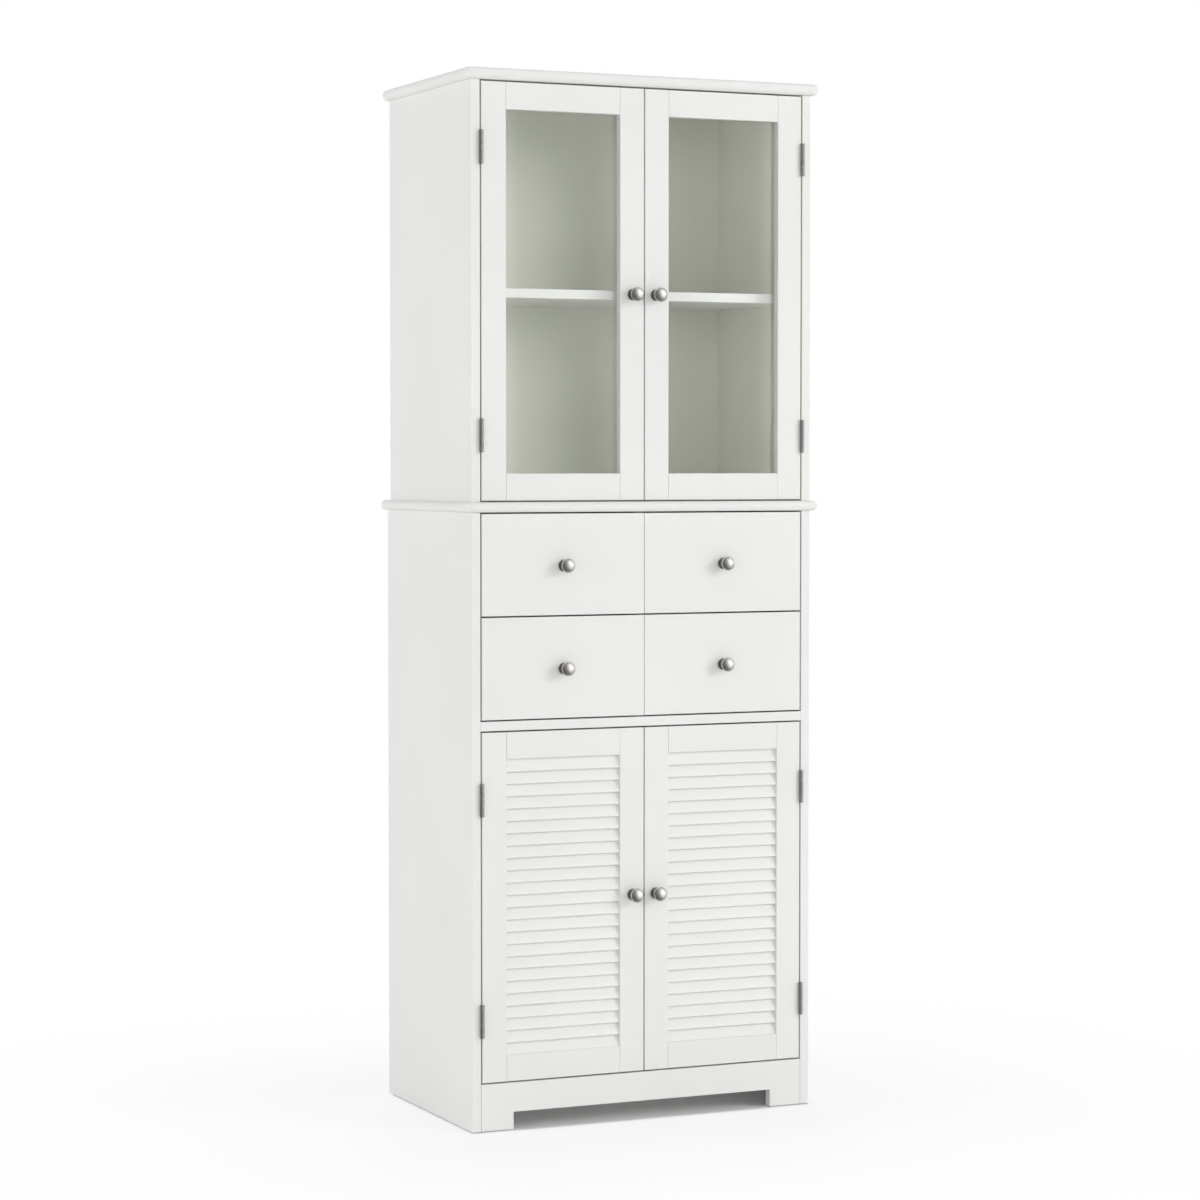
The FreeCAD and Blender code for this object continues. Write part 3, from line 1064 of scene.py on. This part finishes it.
@dataclass
class HingeFittings(SubAssembly):
    """Caps on the hinge pins and flush screws in the hinge leaves."""

    steel: Finish
    axis_x: float = 0.2838
    axis_y: float = -0.1776
    lower_feet: tuple[float, float] = (0.151, 0.5025)
    upper_feet: tuple[float, float] = (1.079, 1.531)
    length: float = 0.051
    leaf_face: float = 0.0001
    leaf_middle: float = -0.166
    screw_rises: tuple[float, float, float] = (0.0085, 0.0255, 0.0425)
    stagger: float = 0.0028
    cap: PinCap = PinCap()
    screw: CrossScrew = CrossScrew(0.0027, 0.00007)

    def feet(self, level: Level) -> tuple[float, float]:
        """Gives the lower ends of a door's two hinges."""
        return self.upper_feet if level is Level.UPPER else self.lower_feet

    def build(self) -> None:
        """Models one cap and one screw and copies them to every hinge."""
        self.cap_pins()
        self.screw_leaves()

    def cap_pins(self) -> None:
        """Puts a domed cap on both ends of every pin."""
        cap = self.cap.make()
        spots = []
        for side in Side:
            x = side.sign * self.axis_x
            for foot in self.lower_feet + self.upper_feet:
                spots.append(facing((x, self.axis_y, foot + self.length), "X", 0))
                spots.append(facing((x, self.axis_y, foot), "X", 180))
        seat(cap.copy_to("hinge_pin_caps", spots), "carcass", self.steel)
        cap.put_away()

    def screw_leaves(self) -> None:
        """Puts three flush screws into every leaf, on the case and on the door."""
        head = self.screw.make()
        shifts = (-self.stagger, self.stagger, -self.stagger)
        case_spots = []
        for level in Level:
            for side in Side:
                case_x = side.sign * (self.axis_x + self.leaf_face)
                door_x = side.sign * (self.axis_x - self.leaf_face)
                door_spots = []
                for foot in self.feet(level):
                    for rise, shift in zip(self.screw_rises, shifts):
                        y, z = self.leaf_middle + shift, foot + rise
                        case_spots.append(facing((case_x, y, z), "Y", -90 * side.sign))
                        door_spots.append(facing((door_x, y, z), "Y", 90 * side.sign))
                body = f"{level.value}_{side.value}_door"
                screws = head.copy_to(f"{body}_hinge_screws", door_spots)
                seat(screws, body, self.steel)
        screws = head.copy_to("case_hinge_screws", case_spots)
        seat(screws, "carcass", self.steel)
        head.put_away()


@dataclass
class CatchFittings(SubAssembly):
    """The magnetic catches under the boards and the screws of their strike plates."""

    plastic: Finish
    steel: Finish
    offset: float = 0.070
    tops: tuple[float, float] = (0.637, 1.662)
    front: float = -0.1525
    width: float = 0.040
    depth: float = 0.016
    height: float = 0.013
    body_width: float = 0.026
    body_corner: float = 0.0009
    body_edge: float = 0.0006
    body_steps: int = 3
    flange: float = 0.0024
    ear_corner: float = 0.003
    ear_steps: int = 5
    ear_place: float = 0.0165
    upright_least: float = 0.004
    pole_reach: float = 0.0008
    pole_width: float = 0.021
    pole_back: float = 0.0048
    pole_thickness: float = 0.0012
    pole_drop: float = 0.0105
    pole_pitch: float = 0.0052
    pole_corner: float = 0.0012
    pole_edge: float = 0.0002
    pole_steps: tuple[int, int] = (4, 2)
    strike_face: float = -0.1528
    strike_screw_reach: float = 0.0105
    ear_screw: CrossScrew = CrossScrew(0.0026, 0.0014)
    strike_screw: CrossScrew = CrossScrew(0.0023, 0.0002)

    def spots(self) -> list[Matrix]:
        """Lists the places of the four catches, at the middle of their tops."""
        y = self.front + self.depth / 2
        return [facing((side.sign * self.offset, y, z), "Z", 0) for side in Side for z in self.tops]

    def build(self) -> None:
        """Models one catch and copies it to its four places."""
        spots = self.spots()
        housing = self.housing()
        shown = housing.copy_to("catch_housings", spots)
        seat(shown, "carcass", self.plastic)
        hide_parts("magnetic_catches")
        housing.put_away()
        poles = self.poles()
        plates = poles.copy_to("catch_pole_plates", spots)
        seat(plates, "carcass", self.steel)
        poles.put_away()
        head = self.ear_screw.make()
        ears = []
        for spot in spots:
            for sign in (-1, 1):
                ears.append(spot @ facing((sign * self.ear_place, 0, -self.flange), "X", 180))
        seat(head.copy_to("catch_screws", ears), "carcass", self.steel)
        head.put_away()
        self.screw_strikes()

    def housing(self) -> Workpiece:
        """Models the moulded housing: a body with two ears.

        Returns:
            The housing, its top at the origin.
        """
        half, deep, end = self.body_width / 2, self.depth / 2, self.width / 2
        low = (-half, self.pole_reach - deep, -self.height)
        work = Workpiece.block("catch_housing", low, (half, deep, 0.0))
        work.split((0, 0, -self.flange), (0, 0, 1))
        for sign in (-1, 1):
            work.draw_faces(
                lambda middle, way: way.x * sign > ALIGNED and middle.z > -self.flange,
                (sign * (end - half), 0, 0),
            )

        def on_ear(a: Vector, b: Vector) -> bool:
            """Tells whether an edge is an upright one at the end of an ear."""
            return abs(a.z - b.z) > TINY and min(abs(a.x), abs(b.x)) > end - TINY

        def on_body(a: Vector, b: Vector) -> bool:
            """Tells whether an edge is a long upright one of the body."""
            on_side = all(abs(abs(point.x) - half) < TINY for point in (a, b))
            return on_side and abs(a.z - b.z) > self.upright_least

        work.ease(self.ear_corner, self.ear_steps, on_ear)
        work.ease(self.body_edge, self.body_steps, lambda a, b: max(a.z, b.z) < TINY - self.height)
        work.ease(self.body_corner, self.body_steps, on_body)
        work.smooth()
        return work

    def poles(self) -> Workpiece:
        """Models the two pole plates that the strike plate meets.

        Returns:
            The plates.
        """
        half, deep = self.pole_width / 2, self.depth / 2
        low = (-half, -deep, -self.pole_drop)
        high = (half, self.pole_back, self.pole_thickness - self.pole_drop)
        work = Workpiece.block("catch_pole", low, high)

        def in_front(a: Vector, b: Vector) -> bool:
            """Tells whether an edge lies on the front of a plate."""
            return max(a.y, b.y) < TINY - deep

        corner_steps, edge_steps = self.pole_steps
        work.ease(
            self.pole_corner, corner_steps, lambda a, b: in_front(a, b) and abs(a.z - b.z) > TINY
        )
        work.ease(
            self.pole_edge, edge_steps, lambda a, b: in_front(a, b) and abs(a.x - b.x) > TINY
        )
        work.smooth()
        spots = [facing((0, 0, rise), "Z", 0) for rise in (0, self.pole_pitch)]
        pair = work.copy_to("catch_pole_pair", spots)
        work.put_away()
        bpy.context.view_layer.objects.active = pair
        return Workpiece("catch_pole_pair")

    def screw_strikes(self) -> None:
        """Puts two screws into the strike plate of every door."""
        head = self.strike_screw.make()
        for level in (Level.LOWER, Level.UPPER):
            for side in Side:
                body = f"{level.value}_{side.value}_door"
                low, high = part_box(f"{body}_strike_plate")
                z = (low.z + high.z) / 2
                spots = []
                for sign in (-1, 1):
                    x = side.sign * self.offset + sign * self.strike_screw_reach
                    spots.append(facing((x, self.strike_face, z), "X", -90))
                screws = head.copy_to(f"{body}_strike_screws", spots)
                seat(screws, body, self.steel)
        head.put_away()


@dataclass
class DoorStop(SubAssembly):
    """The painted strip on the waist board that the glazed doors close against."""

    paint: Finish
    half_length: float = 0.2846
    front: float = -0.1534
    depth: float = 0.005
    low: float = 0.999
    height: float = 0.0095
    edge: float = 0.0012
    edge_steps: int = 4

    def build(self) -> None:
        """Models the strip with rounded upper edges."""
        top = self.low + self.height
        low = (-self.half_length, self.front, self.low)
        high = (self.half_length, self.front + self.depth, top)
        work = Workpiece.block("door_stop", low, high)
        work.ease(self.edge, self.edge_steps, lambda a, b: min(a.z, b.z) > top - TINY)
        work.smooth()
        seat(work.piece, "carcass", self.paint)


def dress_node(node: str, finish: Finish) -> None:
    """Gives a carried node its finish.

    Args:
        node: Name of the node.
        finish: The finish.
    """
    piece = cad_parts[node]
    piece.data.materials.clear()
    piece.data.materials.append(finish)
    log.info("dressed %s with %s", node, finish.name)


@dataclass
class FinishSet:
    """The finishes that several sub-assemblies share."""

    paint_across: Finish
    paint_upright: Finish
    paint_bright: Finish
    paint_deep: Finish
    paint_lined: Finish
    back_foil: Finish
    drawer_foil: Finish
    glass: Finish
    steel: Finish
    runner: Finish
    catch: Finish

    @classmethod
    def mix(cls) -> "FinishSet":
        """Makes every shared finish once.

        Returns:
            The finishes.
        """
        # bright: a lighter copy of the white paint for the slats and the shelf, painted light that
        # makes up for the shade between the slats and on the shelf behind the glass.
        bright = (tone(241, 241, 239), tone(238, 238, 236))
        # The greenish painted shade tint for the side faces inside the upper case.
        shade_tint = (tone(236, 238, 223), tone(231, 233, 218))
        # back: a greenish painted shade tint for the back panels' faces inside the case; rear keeps
        # the plain foil tone for the face that looks out at the back.
        back = (tone(234, 236, 224), tone(229, 231, 219))
        rear = (tone(232, 232, 229), tone(227, 227, 224))
        drawer = (tone(233, 233, 230), tone(227, 227, 224))
        runner = (tone(224, 223, 216), tone(216, 215, 208))
        catch = (tone(232, 232, 229), tone(226, 226, 223))
        return cls(
            paint_across=SatinPaint("white_paint_across", Grain.ACROSS).make(),
            paint_upright=SatinPaint("white_paint_upright", Grain.UPRIGHT).make(),
            paint_bright=SatinPaint("white_paint_bright", Grain.ACROSS, *bright).make(),
            paint_deep=SatinPaint("white_paint_deep", Grain.DEEP).make(),
            paint_lined=SatinPaint("white_paint_lined", Grain.UPRIGHT, shade_tint=shade_tint).make(),
            # The back panels' inner faces carry the greenish painted shade tint.
            back_foil=BoardFoil("back_board_foil", Grain.UPRIGHT, *back, rear=rear).make(),
            drawer_foil=BoardFoil("drawer_foil", Grain.DEEP, *drawer).make(),
            glass=ClearGlass().make(),
            steel=PlatedSteel("grey_plated_steel").make(),
            runner=MouldedPlastic("runner_plastic", *runner).make(),
            catch=MouldedPlastic("catch_plastic", *catch).make(),
        )


@dataclass
class Carcass(SubAssembly):
    """The two cases, their boards, shelves and fixed fittings."""

    finishes: FinishSet
    level_boards: tuple[str, ...] = (
        "top_board", "waist_board", "lower_shelf", "drawer_bay_floor", "bottom_board",
        "front_apron",
    )

    def build(self) -> None:
        """Dresses the fixed pieces."""
        for node in self.level_boards:
            dress_node(node, self.finishes.paint_across)
        # The shelf takes the lighter copy of the white paint, painted light against the shade behind
        # the glass.
        dress_node("display_shelf", self.finishes.paint_bright)
        for side in Side:
            # The upper sides carry the greenish painted shade tint on their inner faces.
            dress_node(f"upper_side_{side.value}", self.finishes.paint_lined)
            dress_node(f"lower_side_{side.value}", self.finishes.paint_upright)
        dress_node("drawer_partition", self.finishes.paint_deep)
        for level in Level:
            dress_node(f"{level.value}_back_panel", self.finishes.back_foil)
        dress_node("frame_hinge_leaves", self.finishes.steel)
        dress_node("shelf_pins", self.finishes.catch)
        dress_node("drawer_runners", self.finishes.runner)


@dataclass
class Door(SubAssembly):
    """A door, glazed above and louvred below."""

    side: Side
    level: Level
    finishes: FinishSet

    def build(self) -> None:
        """Dresses the pieces of the door."""
        body, finishes = f"{self.level.value}_{self.side.value}_door", self.finishes
        dress_node(f"{body}_stiles", finishes.paint_upright)
        dress_node(f"{body}_rails", finishes.paint_across)
        if self.level is Level.UPPER:
            dress_node(f"{body}_glass", finishes.glass)
            dress_node(f"{body}_glass_beads", finishes.paint_upright)
        else:
            # The slats take the lighter copy of the white paint, painted light against the shade
            # between them.
            dress_node(f"{body}_slats", finishes.paint_bright)
        dress_node(f"{body}_hinge_leaves", finishes.steel)
        dress_node(f"{body}_strike_plate", finishes.steel)


@dataclass
class Drawer(SubAssembly):
    """A drawer with its front, box walls and bottom."""

    side: Side
    level: Level
    finishes: FinishSet

    def build(self) -> None:
        """Dresses the pieces of the drawer."""
        body, finishes = f"{self.level.value}_{self.side.value}_drawer", self.finishes
        dress_node(f"{body}_front", finishes.paint_across)
        dress_node(f"{body}_walls", finishes.drawer_foil)
        dress_node(f"{body}_bottom", finishes.drawer_foil)


@dataclass(frozen=True)
class SoftLamp:
    """A large soft lamp that points at the cabinet."""

    name: str
    azimuth: float
    elevation: float
    size: float
    level: float
    distance: float = 7.0
    aim: Place = (0.0, 0.0, 0.85)

    def build(self) -> None:
        """Adds the lamp, bright enough to put its level of white on a face turned to it."""
        away = direction(self.azimuth, self.elevation)
        data = bpy.data.lights.new(self.name, "AREA")
        data.shape = "SQUARE"
        data.size = self.size
        data.energy = self.level * (math.pi * self.distance) ** 2
        lamp = bpy.data.objects.new(self.name, data)
        bpy.context.scene.collection.objects.link(lamp)
        lamp.location = Vector(self.aim) + away * self.distance
        lamp.rotation_euler = away.to_track_quat("Z", "Y").to_euler()
        lamp.visible_camera = False
        lamp.visible_glossy = False
        log.info("lamp %s", self.name)


@dataclass
class Studio(SubAssembly):
    """The pale floor, the white surround, the lamps and the camera."""

    ambient: float = 0.44
    floor_size: float = 40.0
    floor_colour: Colour = (0.92, 0.92, 0.92, 1.0)
    floor_roughness: float = 0.9
    floor_gloss: float = 0.1
    floor_drop: float = 0.001
    footprint: Place = (0.30, 0.180, 0.0)
    fade_stops: Stops = (
        (0.0, 0.0), (0.004, 0.66), (0.02, 0.72), (0.1, 0.7), (0.3, 0.8), (0.6, 0.94), (1.0, 1.0),
    )
    reflector: tuple[float, float] = (46.0, 18.0)
    gloss_start: float = -0.6
    gloss_curve: float = 3.6
    gloss_range: Range = (0.2, 2.2)
    gap_azimuth: float = 24.95
    gap_stops: Stops = (
        (-0.1, 1.0), (-0.065, 2.2), (-0.046, 2.2), (-0.041, 1.35), (-0.0365, 0.42),
        (-0.028, 0.32), (-0.018, 0.5), (-0.007, 0.6), (0.004, 0.05), (0.013, 0.05),
        (0.0225, 0.5), (0.033, 0.85), (0.0385, 1.6), (0.045, 1.9), (0.06, 1.0),
    )
    lamps: tuple[SoftLamp, ...] = (
        SoftLamp("key_lamp", azimuth=43.5, elevation=16.0, size=2.3, level=0.293),
        SoftLamp("front_lamp", azimuth=-4.0, elevation=8.0, size=2.6, level=0.124),
        SoftLamp("fill_lamp", azimuth=-55.0, elevation=8.0, size=2.6, level=0.06),
        SoftLamp("side_lamp", azimuth=-98.0, elevation=8.0, size=3.6, level=0.345),
        SoftLamp("top_lamp", azimuth=0.0, elevation=87.0, size=3.0, level=0.17),
        SoftLamp("back_lamp", azimuth=165.0, elevation=20.0, size=4.0, level=0.38),
    )
    camera_place: Place = (-2.25354, -5.01112, 1.05984)
    camera_turn: Place = (87.6437, 0.0, -24.2123)
    lens: float = 99.4146
    sensor_width: float = 36.0

    def build(self) -> None:
        """Builds the stage around the cabinet."""
        self.lay_floor()
        self.hang_surround()
        for lamp in self.lamps:
            lamp.build()
        self.stand_camera()

    def lay_floor(self) -> None:
        """Lays a pale floor that turns white away from the cabinet and keeps its shadow."""
        bpy.ops.mesh.primitive_plane_add(size=self.floor_size, location=(0, 0, -self.floor_drop))
        floor = bpy.context.object
        floor.name = "studio_floor"
        floor.visible_glossy = False
        sketch = FinishSketch("pale_floor")
        sketch.dress(Base_Color=self.floor_colour, Roughness=self.floor_roughness)
        sketch.dress(Specular_IOR_Level=self.floor_gloss)
        reach = sketch.measure("ABSOLUTE", sketch.place(stretch=NO_HEIGHT))
        beyond = sketch.measure("SUBTRACT", reach, self.footprint)
        away = sketch.measure("LENGTH", sketch.measure("MAXIMUM", beyond, (0, 0, 0)))
        fade = sketch.ramp(away, self.fade_stops)
        glow = sketch.add("ShaderNodeEmission", Strength=1.0).outputs["Emission"]
        surface = sketch.shader.outputs["BSDF"]
        for ray in (Ray.THROUGH, Ray.CAMERA):
            share = sketch.compute("MULTIPLY", fade, sketch.asked_by(ray))
            surface = sketch.layer(share, surface, glow)
        sketch.show(surface)
        floor.data.materials.append(sketch.finish)
        log.info("floor laid")

    def hang_surround(self) -> None:
        """Hangs a white surround that lights at a plain level and has its own grade for gloss."""
        world = bpy.data.worlds.new("white_surround")
        bpy.context.scene.world = world
        sketch = NodeSketch(world, "ShaderNodeOutputWorld")
        surface, gloss, seen = (
            sketch.add("ShaderNodeBackground", Color=WHITE, Strength=level).outputs["Background"]
            for level in (self.ambient, self.gloss_level(sketch), 1.0)
        )
        for ray, layer in ((Ray.GLOSSY, gloss), (Ray.THROUGH, seen), (Ray.CAMERA, seen)):
            surface = sketch.layer(sketch.asked_by(ray), surface, layer)
        sketch.show(surface)
        log.info("surround hung")

    def gloss_level(self, sketch: NodeSketch) -> Socket:
        """Grades what gloss mirrors: a reflector, and stops across the part that the panes mirror.

        Args:
            sketch: Node sketch of the surround.

        Returns:
            The level for each direction.
        """
        way = sketch.add("ShaderNodeTexCoord").outputs["Generated"]
        share = sketch.measure("DOT_PRODUCT", way, tuple(direction(*self.reflector)))
        share = sketch.spread(share, over=(self.gloss_start, 1.0))
        curve = sketch.compute("POWER", share, self.gloss_curve)
        level = sketch.spread(curve, self.gloss_range, UNIT)
        turn = math.radians(self.gap_azimuth)
        aside = sketch.measure("DOT_PRODUCT", way, (math.cos(turn), math.sin(turn), 0.0))
        return sketch.compute("MULTIPLY", level, sketch.ramp(aside, self.gap_stops))

    def stand_camera(self) -> None:
        """Stands the camera where the photograph was taken from."""
        data = bpy.data.cameras.new("camera")
        data.sensor_width = self.sensor_width
        data.lens = self.lens
        data.dof.use_dof = False
        camera = bpy.data.objects.new("camera", data)
        bpy.context.scene.collection.objects.link(camera)
        camera.location = self.camera_place
        camera.rotation_euler = tuple(math.radians(turn) for turn in self.camera_turn)
        bpy.context.scene.camera = camera
        bpy.context.scene.view_settings.view_transform = "Standard"
        log.info("camera stands")


def main() -> None:
    """Builds every sub-assembly in order."""
    logging.basicConfig(level=logging.INFO, format="%(message)s")
    finishes = FinishSet.mix()
    parts: list[SubAssembly] = [Carcass(finishes)]
    for level in Level:
        for side in Side:
            parts.append(Door(side, level, finishes))
            parts.append(Drawer(side, level, finishes))
    parts.append(Knobs(finishes.steel))
    parts.append(HingeFittings(finishes.steel))
    parts.append(CatchFittings(finishes.catch, finishes.steel))
    parts.append(DoorStop(finishes.paint_across))
    parts.append(Studio())
    for part in parts:
        part.build()


if __name__ == "__main__":
    main()
